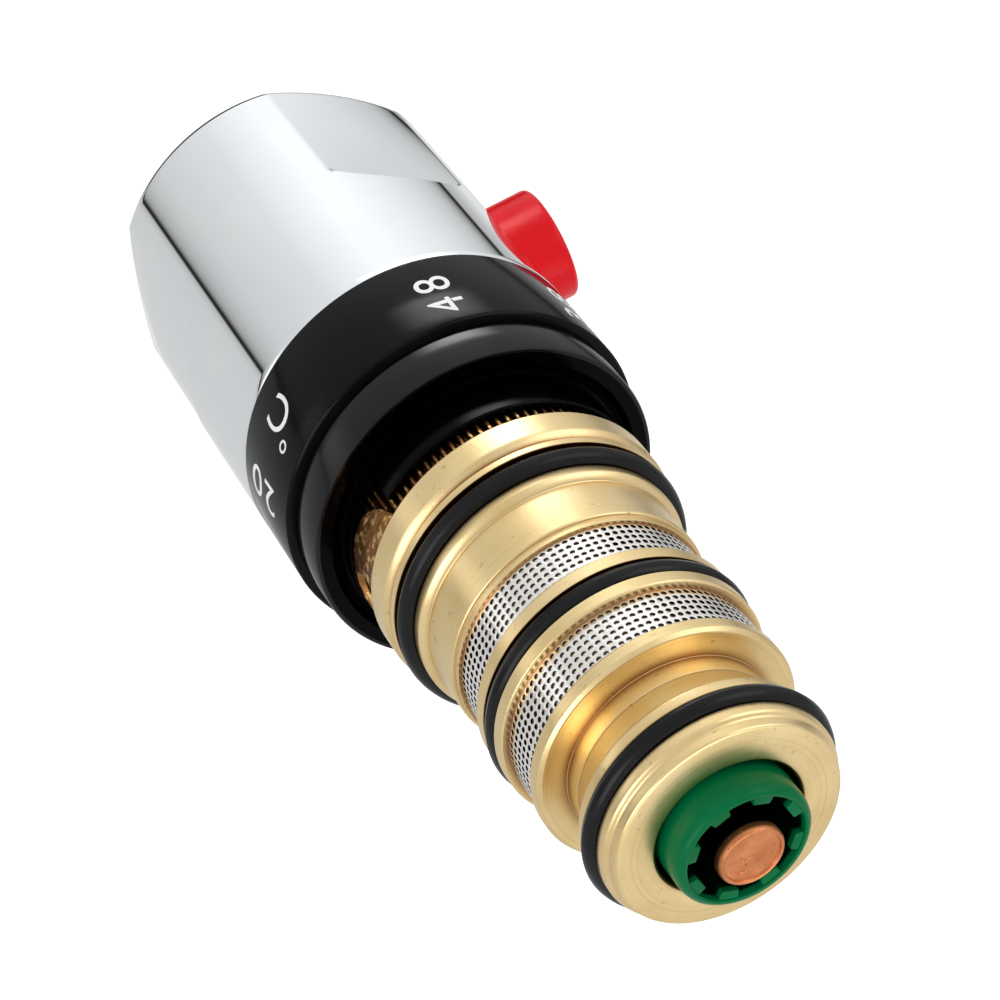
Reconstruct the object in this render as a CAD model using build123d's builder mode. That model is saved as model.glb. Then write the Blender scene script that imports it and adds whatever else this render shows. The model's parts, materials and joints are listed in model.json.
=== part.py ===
from build123d import *
import os
from math import atan2, cos, pi, radians, sin

# Thermostatic mixing valve: control handle on a brass cartridge.
# Millimetres. The origin is the centre of the handle's flat end face, and the axis of the valve is +Z,
# from the handle at the bottom to the cartridge's mouth at the top. Azimuths are degrees from +X.

os.makedirs("parts", exist_ok=True)

# Fits between pieces
running_gap = 0.08
seat_gap = 0.05
turning_gap = 0.3

# Handle shell
handle_radius = 25.5
handle_length = 51.0
handle_wall = 3.2
handle_end_wall = 4.0
handle_end_round = 3.0
flat_azimuth = -140.0
flat_count = 3
flat_length = 29.5
flat_half_width = 12.6
flat_arc_rise = 6.0
flat_depth_at_end = 2.0
flat_depth_at_wall = 3.1
grub_hole_radius = 2.1
grub_hole_azimuth = 40.0
grub_hole_height = 34.0

# Scale ring
scale_ring_length = 15.0
scale_ring_step = 0.1
scale_ring_wall = 2.8
scale_ring_spigot = 5.0
scale_spigot_wall = 1.6
scale_shoulder = 1.2
scale_ring_chamfer = 0.5

# Stop button
button_azimuth = 166.7
button_height = 30.2
button_radius = 8.5
button_rise = 6.0
button_edge_round = 0.8
button_lip_radius = 9.6
button_lip_thickness = 1.6
button_lip_inset = 2.5
button_tongue_width = 8.0
button_tongue_reach = 2.0
button_spring_turns = 2
button_spring_radius = 4.4
button_spring_wire = 0.45
button_post_radius = 2.6
button_post_length = 2.6
button_pocket_depth = 1.0
button_boss_length = 3.5
button_boss_radius = 5.1

# Spline insert in the handle
insert_rim_length = 14.0
insert_rim_wall = 2.4
insert_hub_radius = 9.0
insert_hub_end = 57.0
insert_web = 3.0
insert_ribs = 6
insert_rib_thickness = 2.0

# Stop collar
collar_gap = 0.6
collar_length = 6.4
collar_step = 0.9
collar_mouth_share = 0.325
collar_mouth_chamfer = 0.6
collar_web = 3.0
collar_skirt_length = 10.0
collar_skirt_wall = 2.2
collar_sleeve_wall = 0.95
collar_sleeve_gap = 0.5
collar_sleeve_angle = 2.0
stop_rib_azimuth = 62.0
stop_rib_angle = 62.0
stop_rib_length = 4.0
stop_rib_overlap = 1.2

# Splined gland
tooth_count = 90
tooth_tip_radius = 19.2
tooth_depth = 0.6
gland_drum_set_back = 0.6
tooth_show_length = 3.2
gland_drum_wall = 4.2
gland_web = 4.0
gland_nose_start = 58.8
gland_nose_radius = 7.5
gland_plug_radius = 13.0
gland_plug_length = 10.0
lug_start_azimuth = -60.0
lug_end_azimuth = 2.0
lug_radius = 20.2
lug_length = 7.4
lug_hole_radius = 2.4
lug_hole_azimuth = -18.0

# Spindle and what it carries
spindle_radius = 4.0
spindle_start = 38.0
spindle_tail = 96.5
spline_count = 18
spline_depth = 0.5
circlip_thickness = 0.9
circlip_radius = 5.6
circlip_groove_depth = 0.6
circlip_mouth = 2.8
spindle_seal_section = 0.62
spindle_seal_heights = (72.0, 76.0)

# Cartridge body, from the handle's side to the mouth
flange_radius = 20.8
flange_start = 82.2
flange_length = 4.6
v_groove_depth = 1.0
v_groove_length = 1.0
land_radius = 20.4
seal_groove_length = 3.0
upper_seal_height = 90.3
upper_seal_radius = 20.5
upper_lip_radius = 18.9
upper_lip_end = 93.6
barrel_radius = 17.9
barrel_end = 100.9
strainer_rim_radius = 17.5
strainer_rim_length = 1.0
strainer_length = 6.5
strainer_radius = 17.0
strainer_thickness = 0.5
middle_land_radius = 18.1
middle_seal_height = 112.0
middle_seal_radius = 18.5
lower_strainer_start = 115.5
end_flange_radius = 17.5
end_flange_length = 2.3
end_flange_chamfer = 0.5
neck_radius = 13.6
neck_end = 127.0
chamber_radius = 12.0
port_count = 6
port_angle = 38.0
port_margin = 0.7
port_cut_depth = 1.0

# Rubber rings of the cartridge
seal_section = 1.4
seal_ease = 0.05

# Strainer holes
strainer_hole_columns = 36
strainer_hole_rows = 3
strainer_hole = 1.1

# End cap
cap_radius = 15.7
cap_back = 131.0
cap_front = 139.2
cap_seal_height = 134.4
cap_seal_radius = 16.8
cap_chamfer = 0.9
cap_bore_radius = 9.64
cap_spigot_length = 4.0

# Green insert
green_radius = 9.0
green_start = 127.0
green_end = 143.3
green_inner_radius = 7.7
green_edge_round = 0.9
green_flange_length = 3.0
green_tooth_count = 8
green_tooth_height = 1.35
green_tooth_root = 0.4
green_tooth_width = 2.6
green_tooth_length = 7.0
green_tooth_azimuth = 10.0

# Wax element, shuttle and springs
element_radius = 4.05
element_end = 144.7
element_start = 107.0
element_edge_round = 0.5
element_collar_radius = 6.5
element_collar_length = 2.0
shuttle_start = 108.5
shuttle_end = 115.0
shuttle_wall = 1.5
shuttle_web = 1.5
shuttle_web_offset = 4.25
shuttle_seal_offset = 2.0
shuttle_seal_section = 0.6
shuttle_hole_count = 6
shuttle_hole_radius = 1.4
pin_radius = 1.5
pin_end = 109.0
nut_start = 93.2
nut_end = 98.6
nut_across_flats = 14.0
nut_chamfer = 0.8
cup_radius = 8.0
cup_wall = 1.0
cup_lip = 2.0
cup_end = 105.6
plate_thickness = 1.0
overload_spring_turns = 3
overload_spring_wire = 0.5
return_spring_turns = 3
return_spring_wire = 0.6
seat_inner_radius = 10.5
seat_start = 98.5
seat_length = 2.6

# Worked out sizes
flat_side_length = flat_length - flat_arc_rise
cavity_radius = handle_radius - handle_wall
scale_ring_radius = handle_radius - scale_ring_step
button_top = handle_radius + button_rise
button_lip_outer = cavity_radius - button_lip_inset
scale_ring_end = handle_length + scale_ring_length
scale_bore_radius = scale_ring_radius - scale_ring_wall
spigot_bore_radius = cavity_radius - seat_gap - scale_spigot_wall
collar_start = scale_ring_end + collar_gap
collar_end = collar_start + collar_length
collar_radius = scale_ring_radius - collar_step
collar_sleeve_radius = tooth_tip_radius + seat_gap + collar_sleeve_wall
collar_sleeve_end = flange_start - tooth_show_length
collar_mouth_radius = collar_sleeve_radius + (collar_radius - collar_sleeve_radius) * collar_mouth_share
sleeve_cut_radius = collar_sleeve_radius + running_gap
sleeve_cut_start = lug_start_azimuth - collar_sleeve_angle
sleeve_cut_angle = lug_end_azimuth - lug_start_azimuth + 2 * collar_sleeve_angle
stop_rib_inner_radius = button_lip_outer - stop_rib_overlap
stop_rib_start = stop_rib_azimuth - stop_rib_angle / 2
button_tongue_length = collar_start - collar_skirt_length - button_tongue_reach - button_height
gland_drum_start = collar_start + gland_drum_set_back
lug_start = flange_start - lug_length
gland_bore_radius = spindle_radius + running_gap
gland_plug_end = flange_start + gland_plug_length
flange_end = flange_start + flange_length
lower_strainer_end = lower_strainer_start + strainer_length
upper_strainer_start = barrel_end + strainer_rim_length
upper_strainer_end = upper_strainer_start + strainer_length
end_flange_end = lower_strainer_end + end_flange_length
strainer_seat_radius = strainer_radius - strainer_thickness - seat_gap
cap_spigot_start = neck_end - cap_spigot_length
collar_skirt_radius = scale_bore_radius - turning_gap
drum_inner_radius = tooth_tip_radius - gland_drum_wall
button_seat = insert_hub_radius + button_boss_length
button_spring_length = button_lip_outer - button_lip_thickness - button_seat - 2 * button_spring_wire
circlip_start = gland_nose_start - circlip_thickness
spindle_groove_radius = spindle_radius - 2 * spindle_seal_section + running_gap
plate_end = cup_end - cup_wall
overload_spring_radius = cup_radius - cup_wall - overload_spring_wire - running_gap * 2
return_spring_radius = (cap_bore_radius + chamber_radius) / 2
shuttle_radius = chamber_radius - running_gap
shuttle_web_start = shuttle_start + shuttle_web_offset
shuttle_seal_height = shuttle_start + shuttle_seal_offset
seal_half_length = seal_groove_length / 2
upper_groove_radius = upper_seal_radius + seal_ease - 2 * seal_section
middle_groove_radius = middle_seal_radius + seal_ease - 2 * seal_section
cap_groove_radius = cap_seal_radius + seal_ease - 2 * seal_section

spindle_outline = [(0, spindle_start), (spindle_radius, spindle_start),
                   (spindle_radius, circlip_start),
                   (spindle_radius - circlip_groove_depth, circlip_start),
                   (spindle_radius - circlip_groove_depth, gland_nose_start),
                   (spindle_radius, gland_nose_start)]
for seal_height in spindle_seal_heights:
    spindle_outline += [(spindle_radius, seal_height - spindle_seal_section),
                        (spindle_groove_radius, seal_height - spindle_seal_section),
                        (spindle_groove_radius, seal_height + spindle_seal_section),
                        (spindle_radius, seal_height + spindle_seal_section)]
spindle_outline += [(spindle_radius, spindle_tail), (0, spindle_tail)]

body_outline = [(gland_plug_radius + seat_gap, flange_start),
                (flange_radius, flange_start), (flange_radius, flange_end),
                (flange_radius - v_groove_depth, flange_end + v_groove_length / 2),
                (land_radius, flange_end + v_groove_length),
                (land_radius, upper_seal_height - seal_half_length),
                (upper_groove_radius, upper_seal_height - seal_half_length),
                (upper_groove_radius, upper_seal_height + seal_half_length),
                (upper_lip_radius, upper_seal_height + seal_half_length),
                (upper_lip_radius, upper_lip_end), (barrel_radius, upper_lip_end),
                (barrel_radius, barrel_end), (strainer_rim_radius, barrel_end),
                (strainer_rim_radius, upper_strainer_start), (strainer_seat_radius, upper_strainer_start),
                (strainer_seat_radius, upper_strainer_end), (middle_land_radius, upper_strainer_end),
                (middle_land_radius, middle_seal_height - seal_half_length),
                (middle_groove_radius, middle_seal_height - seal_half_length),
                (middle_groove_radius, middle_seal_height + seal_half_length),
                (middle_land_radius, middle_seal_height + seal_half_length),
                (middle_land_radius, lower_strainer_start), (strainer_seat_radius, lower_strainer_start),
                (strainer_seat_radius, lower_strainer_end), (end_flange_radius, lower_strainer_end),
                (end_flange_radius, end_flange_end - end_flange_chamfer),
                (end_flange_radius - end_flange_chamfer, end_flange_end), (neck_radius, end_flange_end),
                (neck_radius, neck_end), (chamber_radius, neck_end),
                (chamber_radius, gland_plug_end), (gland_plug_radius + seat_gap, gland_plug_end)]

cap_outline = [(cap_bore_radius, cap_spigot_start), (chamber_radius - seat_gap, cap_spigot_start),
               (chamber_radius - seat_gap, neck_end), (neck_radius, neck_end), (neck_radius, cap_back),
               (cap_radius, cap_back), (cap_radius, cap_seal_height - seal_half_length),
               (cap_groove_radius, cap_seal_height - seal_half_length),
               (cap_groove_radius, cap_seal_height + seal_half_length),
               (cap_radius, cap_seal_height + seal_half_length),
               (cap_radius, cap_front - cap_chamfer), (cap_radius - cap_chamfer, cap_front),
               (cap_bore_radius, cap_front)]

shuttle_outline = [(shuttle_radius, shuttle_start),
                   (shuttle_radius, shuttle_seal_height - shuttle_seal_section),
                   (shuttle_radius - 2 * shuttle_seal_section, shuttle_seal_height - shuttle_seal_section),
                   (shuttle_radius - 2 * shuttle_seal_section, shuttle_seal_height + shuttle_seal_section),
                   (shuttle_radius, shuttle_seal_height + shuttle_seal_section),
                   (shuttle_radius, shuttle_end), (shuttle_radius - shuttle_wall, shuttle_end),
                   (shuttle_radius - shuttle_wall, shuttle_web_start + shuttle_web),
                   (element_radius + seat_gap, shuttle_web_start + shuttle_web),
                   (element_radius + seat_gap, shuttle_web_start),
                   (shuttle_radius - shuttle_wall, shuttle_web_start),
                   (shuttle_radius - shuttle_wall, shuttle_start)]


def direction(azimuth):
    return Vector(cos(radians(azimuth)), sin(radians(azimuth)), 0)


def side_plane(azimuth, distance, height):
    # Plane that faces outwards from the axis, its x along the valve's axis
    return Plane(origin=direction(azimuth) * distance + Vector(0, 0, height),
                 x_dir=(0, 0, 1), z_dir=direction(azimuth))


def flat_plane(azimuth):
    # Plane of a finger flat: x across the flat, y up it, leaning in towards the scale ring
    outward = direction(azimuth)
    lean = atan2(flat_depth_at_wall - flat_depth_at_end, flat_length)
    return Plane(origin=outward * (handle_radius - flat_depth_at_end),
                 x_dir=Vector(0, 0, 1).cross(outward),
                 z_dir=outward * cos(lean) + Vector(0, 0, sin(lean)))


def rubber_ring(groove_radius, section, height):
    # Round rubber ring in a groove, eased a little where it seats
    with BuildPart() as piece:
        with BuildSketch(Plane.XZ):
            with Locations((groove_radius + section, height)):
                Circle(section - seal_ease)
        revolve(axis=Axis.Z)
    return piece


def coil_spring(mean_radius, wire, start, end, turns):
    # Wire wound from one end of its space to the other
    with BuildPart() as piece:
        with BuildLine() as path:
            Helix(pitch=(end - start - 2 * wire) / turns, height=end - start - 2 * wire,
                  radius=mean_radius, center=(0, 0, start + wire))
        with BuildSketch(Plane(origin=path.line @ 0, z_dir=path.line % 0)):
            RegularPolygon(radius=wire, side_count=6)
        sweep()
    return piece


def tooth_ring_points(count, root_radius, tip_radius):
    # Outline of a ring of straight-sided teeth, as (x, y) points
    points = []
    for tooth in range(count):
        for share, radius in ((0.0, root_radius), (0.25, root_radius), (0.5, tip_radius), (0.75, tip_radius)):
            angle = 2 * pi * (tooth + share) / count
            points.append((radius * cos(angle), radius * sin(angle)))
    return points


# Handle shell: round cast cap with finger flats towards its free end
with BuildPart() as handle_shell:
    Cylinder(handle_radius, handle_length, align=(Align.CENTER, Align.CENTER, Align.MIN))
    for flat in range(flat_count):
        with BuildSketch(flat_plane(flat_azimuth + flat * 360 / flat_count)):
            with BuildLine():
                ThreePointArc((-flat_half_width, flat_side_length), (0, flat_length),
                              (flat_half_width, flat_side_length))
                Polyline((flat_half_width, flat_side_length), (flat_half_width, -flat_half_width),
                         (-flat_half_width, -flat_half_width), (-flat_half_width, flat_side_length))
            make_face()
        extrude(amount=handle_radius, mode=Mode.SUBTRACT)
    fillet(handle_shell.faces().sort_by(Axis.Z)[0].edges(), handle_end_round)
    with BuildSketch(Plane.XY.offset(handle_length)):
        Circle(cavity_radius)
    extrude(amount=-(handle_length - handle_end_wall), mode=Mode.SUBTRACT)
    with BuildSketch(side_plane(button_azimuth, 0, button_height)):
        Circle(button_radius + running_gap)
    extrude(amount=handle_radius * 2, mode=Mode.SUBTRACT)
    with BuildSketch(side_plane(grub_hole_azimuth, 0, grub_hole_height)):
        Circle(grub_hole_radius)
    extrude(amount=handle_radius * 2, mode=Mode.SUBTRACT)
handle_shell.part.label = "handle_shell"
export_step(handle_shell.part, "parts/handle_shell.step")

# Scale ring: black ring with a spigot that seats in the handle shell
with BuildPart() as scale_ring:
    with BuildSketch(Plane.XZ):
        with BuildLine():
            Polyline((spigot_bore_radius, handle_length - scale_ring_spigot),
                     (cavity_radius - seat_gap, handle_length - scale_ring_spigot),
                     (cavity_radius - seat_gap, handle_length),
                     (scale_ring_radius, handle_length),
                     (scale_ring_radius, scale_ring_end - scale_ring_chamfer),
                     (scale_ring_radius - scale_ring_chamfer, scale_ring_end),
                     (scale_bore_radius, scale_ring_end),
                     (scale_bore_radius, handle_length + scale_shoulder),
                     (spigot_bore_radius, handle_length + scale_shoulder),
                     close=True)
        make_face()
    revolve(axis=Axis.Z)
scale_ring.part.label = "scale_ring"
export_step(scale_ring.part, "parts/scale_ring.step")

# Stop button: round push button on a lip that holds it in the handle, with a tongue up to the end stop
with BuildPart() as stop_button:
    with BuildSketch(side_plane(button_azimuth, button_lip_outer - button_lip_thickness, button_height)):
        Circle(button_radius)
    extrude(amount=button_top - button_lip_outer + button_lip_thickness)
    fillet(stop_button.edges().sort_by(Axis((0, 0, 0), direction(button_azimuth)))[-1],
           button_edge_round)
    with BuildSketch(side_plane(button_azimuth, button_lip_outer - button_lip_thickness, button_height)):
        Circle(button_lip_radius)
        with Locations((button_tongue_length / 2, 0)):
            Rectangle(button_tongue_length, button_tongue_width)
    extrude(amount=button_lip_thickness)
    with BuildSketch(side_plane(button_azimuth, button_lip_outer - button_lip_thickness, button_height)):
        Circle(button_post_radius + turning_gap)
    extrude(amount=button_pocket_depth, mode=Mode.SUBTRACT)
stop_button.part.label = "stop_button"
export_step(stop_button.part, "parts/stop_button.step")

# Spline insert: plastic rim, web and hub that join the handle to the spindle
with BuildPart() as spline_insert:
    with BuildSketch(Plane.XZ):
        with BuildLine():
            Polyline((0, handle_end_wall), (cavity_radius - seat_gap, handle_end_wall),
                     (cavity_radius - seat_gap, handle_end_wall + insert_rim_length),
                     (cavity_radius - seat_gap - insert_rim_wall, handle_end_wall + insert_rim_length),
                     (cavity_radius - seat_gap - insert_rim_wall, handle_end_wall + insert_web),
                     (insert_hub_radius, handle_end_wall + insert_web),
                     (insert_hub_radius, insert_hub_end), (0, insert_hub_end),
                     close=True)
        make_face()
    revolve(axis=Axis.Z)
    with BuildSketch(Plane.XY.offset(handle_end_wall)):
        with PolarLocations((cavity_radius + insert_hub_radius) / 2, insert_ribs):
            Rectangle(cavity_radius - insert_hub_radius - insert_rim_wall, insert_rib_thickness)
    extrude(amount=insert_rim_length)
    with BuildSketch(side_plane(button_azimuth, 0, button_height)):
        Circle(button_boss_radius)
    extrude(amount=button_seat)
    with BuildSketch(side_plane(button_azimuth, button_seat, button_height)):
        Circle(button_post_radius)
    extrude(amount=button_post_length)
    with BuildSketch(Plane.XY.offset(insert_hub_end)):
        Polygon(*tooth_ring_points(spline_count, spindle_radius - spline_depth + seat_gap,
                                   spindle_radius + seat_gap), align=None)
    extrude(amount=spindle_start - insert_hub_end, mode=Mode.SUBTRACT)
spline_insert.part.label = "spline_insert"
export_step(spline_insert.part, "parts/spline_insert.step")

# Spring under the stop button
with BuildPart() as button_spring:
    with BuildLine() as button_spring_path:
        Helix(pitch=button_spring_length / button_spring_turns, height=button_spring_length,
              radius=button_spring_radius,
              center=direction(button_azimuth) * (button_seat + button_spring_wire)
              + Vector(0, 0, button_height),
              direction=direction(button_azimuth))
    with BuildSketch(Plane(origin=button_spring_path.line @ 0, z_dir=button_spring_path.line % 0)):
        RegularPolygon(radius=button_spring_wire, side_count=6)
    sweep()
button_spring.part.label = "button_spring"
export_step(button_spring.part, "parts/button_spring.step")

# Stop collar: black ring with a sleeve over the gland's teeth, a skirt in the scale ring and an end stop
with BuildPart() as stop_collar:
    with BuildSketch(Plane.XZ):
        with BuildLine():
            Polyline((tooth_tip_radius + seat_gap, collar_start),
                     (collar_skirt_radius - collar_skirt_wall, collar_start),
                     (collar_skirt_radius - collar_skirt_wall, collar_start - collar_skirt_length),
                     (collar_skirt_radius, collar_start - collar_skirt_length),
                     (collar_skirt_radius, collar_start),
                     (collar_radius, collar_start),
                     (collar_radius, collar_end - collar_mouth_chamfer),
                     (collar_radius - collar_mouth_chamfer, collar_end),
                     (collar_mouth_radius + collar_mouth_chamfer, collar_end),
                     (collar_mouth_radius, collar_end - collar_mouth_chamfer),
                     (collar_mouth_radius, collar_start + collar_web),
                     (collar_sleeve_radius, collar_start + collar_web),
                     (collar_sleeve_radius, collar_sleeve_end),
                     (tooth_tip_radius + seat_gap, collar_sleeve_end),
                     close=True)
        make_face()
    revolve(axis=Axis.Z)
    with BuildSketch(Plane.XY.offset(collar_start - collar_skirt_length)):
        with BuildLine():
            CenterArc((0, 0), collar_skirt_radius, stop_rib_start, stop_rib_angle)
            CenterArc((0, 0), stop_rib_inner_radius, stop_rib_start, stop_rib_angle)
            for edge_azimuth in (stop_rib_start, stop_rib_start + stop_rib_angle):
                Line(direction(edge_azimuth) * stop_rib_inner_radius,
                     direction(edge_azimuth) * collar_skirt_radius)
        make_face()
    extrude(amount=-stop_rib_length)
    with BuildSketch(Plane.XY.offset(lug_start - collar_sleeve_gap)):
        with BuildLine():
            for edge_azimuth in (sleeve_cut_start, sleeve_cut_start + sleeve_cut_angle):
                Line((0, 0), direction(edge_azimuth) * sleeve_cut_radius)
            CenterArc((0, 0), sleeve_cut_radius, sleeve_cut_start, sleeve_cut_angle)
        make_face()
    extrude(amount=collar_sleeve_end - lug_start + 2 * collar_sleeve_gap, mode=Mode.SUBTRACT)
stop_collar.part.label = "stop_collar"
export_step(stop_collar.part, "parts/stop_collar.step")

# Splined gland: brass nut screwed into the body, with fine outer teeth and the anti-turn lug
with BuildPart() as splined_gland:
    with BuildSketch(Plane.XZ):
        with BuildLine():
            Polyline((gland_bore_radius, gland_nose_start), (gland_nose_radius, gland_nose_start),
                     (gland_nose_radius, flange_start - gland_web),
                     (drum_inner_radius, flange_start - gland_web),
                     (drum_inner_radius, flange_start),
                     (gland_plug_radius, flange_start), (gland_plug_radius, gland_plug_end),
                     (gland_bore_radius, gland_plug_end),
                     close=True)
        make_face()
    revolve(axis=Axis.Z)
    with BuildSketch(Plane.XY.offset(gland_drum_start)):
        Polygon(*tooth_ring_points(tooth_count, tooth_tip_radius - tooth_depth, tooth_tip_radius),
                align=None)
        Circle(drum_inner_radius, mode=Mode.SUBTRACT)
    extrude(amount=flange_start - gland_drum_start)
    with BuildSketch(Plane.XY.offset(lug_start)):
        with BuildLine():
            CenterArc((0, 0), lug_radius, lug_start_azimuth, lug_end_azimuth - lug_start_azimuth)
            CenterArc((0, 0), drum_inner_radius, lug_start_azimuth, lug_end_azimuth - lug_start_azimuth)
            for edge_azimuth in (lug_start_azimuth, lug_end_azimuth):
                Line(direction(edge_azimuth) * drum_inner_radius, direction(edge_azimuth) * lug_radius)
        make_face()
    extrude(amount=lug_length)
    with BuildSketch(side_plane(lug_hole_azimuth, gland_plug_radius, flange_start - lug_length / 2)):
        Circle(lug_hole_radius)
    extrude(amount=handle_radius, mode=Mode.SUBTRACT)
splined_gland.part.label = "splined_gland"
export_step(splined_gland.part, "parts/splined_gland.step")

# Spindle: brass shaft with splines at the handle's end, a circlip groove and seal grooves
with BuildPart() as spindle:
    with BuildSketch(Plane.XZ):
        with BuildLine():
            Polyline(*spindle_outline, close=True)
        make_face()
    revolve(axis=Axis.Z)
    with BuildSketch(Plane.XY.offset(spindle_start)):
        Circle(spindle_radius + running_gap)
        Polygon(*tooth_ring_points(spline_count, spindle_radius - spline_depth, spindle_radius),
                align=None, mode=Mode.SUBTRACT)
    extrude(amount=insert_hub_end - spindle_start, mode=Mode.SUBTRACT)
spindle.part.label = "spindle"
export_step(spindle.part, "parts/spindle.step")

# Circlip above the gland's nose
with BuildPart() as circlip:
    with BuildSketch(Plane.XY.offset(circlip_start)):
        Circle(circlip_radius)
        Circle(spindle_radius - circlip_groove_depth + seat_gap, mode=Mode.SUBTRACT)
        with Locations((circlip_radius, 0)):
            Rectangle(circlip_radius * 2, circlip_mouth, mode=Mode.SUBTRACT)
    extrude(amount=circlip_thickness)
circlip.part.label = "circlip"
export_step(circlip.part, "parts/circlip.step")

# Rubber rings on the spindle
for seal_name, seal_height in zip(("spindle_seal_a", "spindle_seal_b"), spindle_seal_heights):
    seal = rubber_ring(spindle_groove_radius, spindle_seal_section, seal_height)
    seal.part.label = seal_name
    export_step(seal.part, f"parts/{seal_name}.step")

# Cartridge body: turned brass, with flanges, seal grooves, strainer seats and ports
with BuildPart() as cartridge_body:
    with BuildSketch(Plane.XZ):
        with BuildLine():
            Polyline(*body_outline, close=True)
        make_face()
    revolve(axis=Axis.Z)
    for port_start in (upper_strainer_start + port_margin, lower_strainer_start + port_margin):
        with BuildSketch(Plane.XY.offset(port_start)):
            for port in range(port_count):
                port_azimuth = port * 360 / port_count
                with BuildLine():
                    CenterArc((0, 0), barrel_radius, port_azimuth - port_angle / 2, port_angle)
                    Line(direction(port_azimuth - port_angle / 2) * barrel_radius, (0, 0))
                    Line(direction(port_azimuth + port_angle / 2) * barrel_radius, (0, 0))
                make_face()
            Circle(chamber_radius - port_cut_depth, mode=Mode.SUBTRACT)
        extrude(amount=strainer_length - 2 * port_margin, mode=Mode.SUBTRACT)
cartridge_body.part.label = "cartridge_body"
export_step(cartridge_body.part, "parts/cartridge_body.step")

# Rubber rings of the cartridge
for seal_name, groove_radius, seal_height in (
        ("o_ring_upper", upper_groove_radius, upper_seal_height),
        ("o_ring_middle", middle_groove_radius, middle_seal_height),
        ("o_ring_end", cap_groove_radius, cap_seal_height)):
    seal = rubber_ring(groove_radius, seal_section, seal_height)
    seal.part.label = seal_name
    export_step(seal.part, f"parts/{seal_name}.step")

# Strainers: perforated stainless sleeves over the ports
for strainer_name, strainer_start in (("strainer_upper", upper_strainer_start),
                                      ("strainer_lower", lower_strainer_start)):
    with BuildPart() as strainer:
        with BuildSketch(Plane.XY.offset(strainer_start)):
            Circle(strainer_radius)
            Circle(strainer_radius - strainer_thickness, mode=Mode.SUBTRACT)
        extrude(amount=strainer_length)
        for row in range(strainer_hole_rows):
            with Locations((0, 0, strainer_start + strainer_length * (row + 1) / (strainer_hole_rows + 1))):
                with PolarLocations(strainer_radius, strainer_hole_columns, row * 180 / strainer_hole_columns):
                    Box(strainer_thickness * 4, strainer_hole, strainer_hole, mode=Mode.SUBTRACT)
    strainer.part.label = strainer_name
    export_step(strainer.part, f"parts/{strainer_name}.step")

# Hot seat: ring pressed into the chamber beside the hot ports
with BuildPart() as hot_seat:
    with BuildSketch(Plane.XY.offset(seat_start)):
        Circle(chamber_radius - seat_gap)
        Circle(seat_inner_radius, mode=Mode.SUBTRACT)
    extrude(amount=seat_length)
hot_seat.part.label = "hot_seat"
export_step(hot_seat.part, "parts/hot_seat.step")

# End cap: brass cap with a seal groove, screwed into the body's neck
with BuildPart() as end_cap:
    with BuildSketch(Plane.XZ):
        with BuildLine():
            Polyline(*cap_outline, close=True)
        make_face()
    revolve(axis=Axis.Z)
end_cap.part.label = "end_cap"
export_step(end_cap.part, "parts/end_cap.step")

# Green insert: plastic sleeve with inner teeth around the wax element
with BuildPart() as green_insert:
    with BuildSketch(Plane.XZ):
        with BuildLine():
            Polyline((green_inner_radius, green_start), (cap_bore_radius - seat_gap, green_start),
                     (cap_bore_radius - seat_gap, green_start + green_flange_length),
                     (green_radius, green_start + green_flange_length),
                     (green_radius, green_end), (green_inner_radius, green_end),
                     close=True)
        make_face()
    revolve(axis=Axis.Z)
    green_rim = green_insert.edges().filter_by(GeomType.CIRCLE).group_by(Axis.Z)[-1]
    fillet(green_rim.sort_by(SortBy.RADIUS)[-1], green_edge_round)
    with BuildSketch(Plane.XY.offset(green_end - green_edge_round)):
        with PolarLocations(green_inner_radius - green_tooth_height / 2,
                            green_tooth_count, green_tooth_azimuth):
            Rectangle(green_tooth_height + green_tooth_root, green_tooth_width)
    extrude(amount=-green_tooth_length)
green_insert.part.label = "green_insert"
export_step(green_insert.part, "parts/green_insert.step")

# Wax element: copper sensing body with the collar that carries the shuttle
with BuildPart() as wax_element:
    with BuildSketch(Plane.XZ):
        with BuildLine():
            Polyline((pin_radius + seat_gap, element_start), (element_radius, element_start),
                     (element_radius, shuttle_web_start - element_collar_length),
                     (element_collar_radius, shuttle_web_start - element_collar_length),
                     (element_collar_radius, shuttle_web_start),
                     (element_radius, shuttle_web_start), (element_radius, element_end), (0, element_end),
                     (0, pin_end + seat_gap), (pin_radius + seat_gap, pin_end + seat_gap),
                     close=True)
        make_face()
    revolve(axis=Axis.Z)
    fillet(wax_element.faces().sort_by(Axis.Z)[-1].edges(), element_edge_round)
wax_element.part.label = "wax_element"
export_step(wax_element.part, "parts/wax_element.step")

# Piston pin of the wax element
with BuildPart() as piston_pin:
    with BuildSketch(Plane.XY.offset(plate_end)):
        Circle(pin_radius)
    extrude(amount=pin_end - plate_end)
piston_pin.part.label = "piston_pin"
export_step(piston_pin.part, "parts/piston_pin.step")

# Shuttle: slide that opens one set of ports as it closes the other
with BuildPart() as shuttle:
    with BuildSketch(Plane.XZ):
        with BuildLine():
            Polyline(*shuttle_outline, close=True)
        make_face()
    revolve(axis=Axis.Z)
    with BuildSketch(Plane.XY.offset(shuttle_web_start)):
        with PolarLocations((element_collar_radius + shuttle_radius - shuttle_wall) / 2, shuttle_hole_count):
            Circle(shuttle_hole_radius)
    extrude(amount=shuttle_web, mode=Mode.SUBTRACT)
shuttle.part.label = "shuttle"
export_step(shuttle.part, "parts/shuttle.step")

# Rubber ring of the shuttle
shuttle_seal = rubber_ring(shuttle_radius - 2 * shuttle_seal_section, shuttle_seal_section,
                           shuttle_seal_height)
shuttle_seal.part.label = "shuttle_seal"
export_step(shuttle_seal.part, "parts/shuttle_seal.step")

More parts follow.
